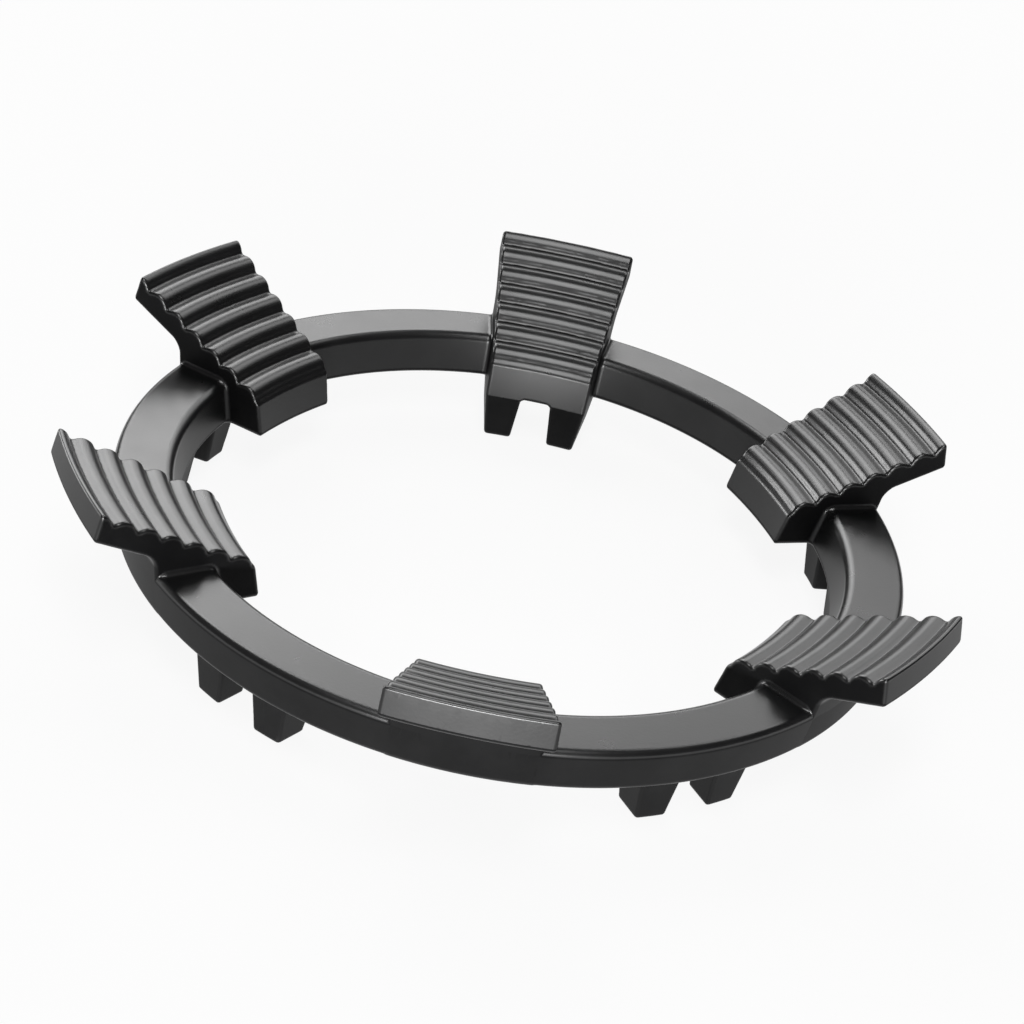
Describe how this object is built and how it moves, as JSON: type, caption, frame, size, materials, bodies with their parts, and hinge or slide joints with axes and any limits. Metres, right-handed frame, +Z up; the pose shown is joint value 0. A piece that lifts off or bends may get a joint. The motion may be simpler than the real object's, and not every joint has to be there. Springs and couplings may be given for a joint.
{
  "type": "wok stand",
  "caption": "Cast ring with ribbed arms that lean outward to cradle a round-bottomed wok, and forked feet that straddle the fingers of a gas hob grate.",
  "frame": {"origin": "on the ring's axis, in the plane of the foot tips", "axes": "+Z up along the ring's axis, +Y towards the arm that has a fork under it"},
  "size_m": [0.2174, 0.2312, 0.0432],
  "materials": {
    "enamelled_iron": "satin black enamel"
  },
  "bodies": {
    "root": {"wok_stand": "enamelled_iron"}
  },
  "joints": []
}
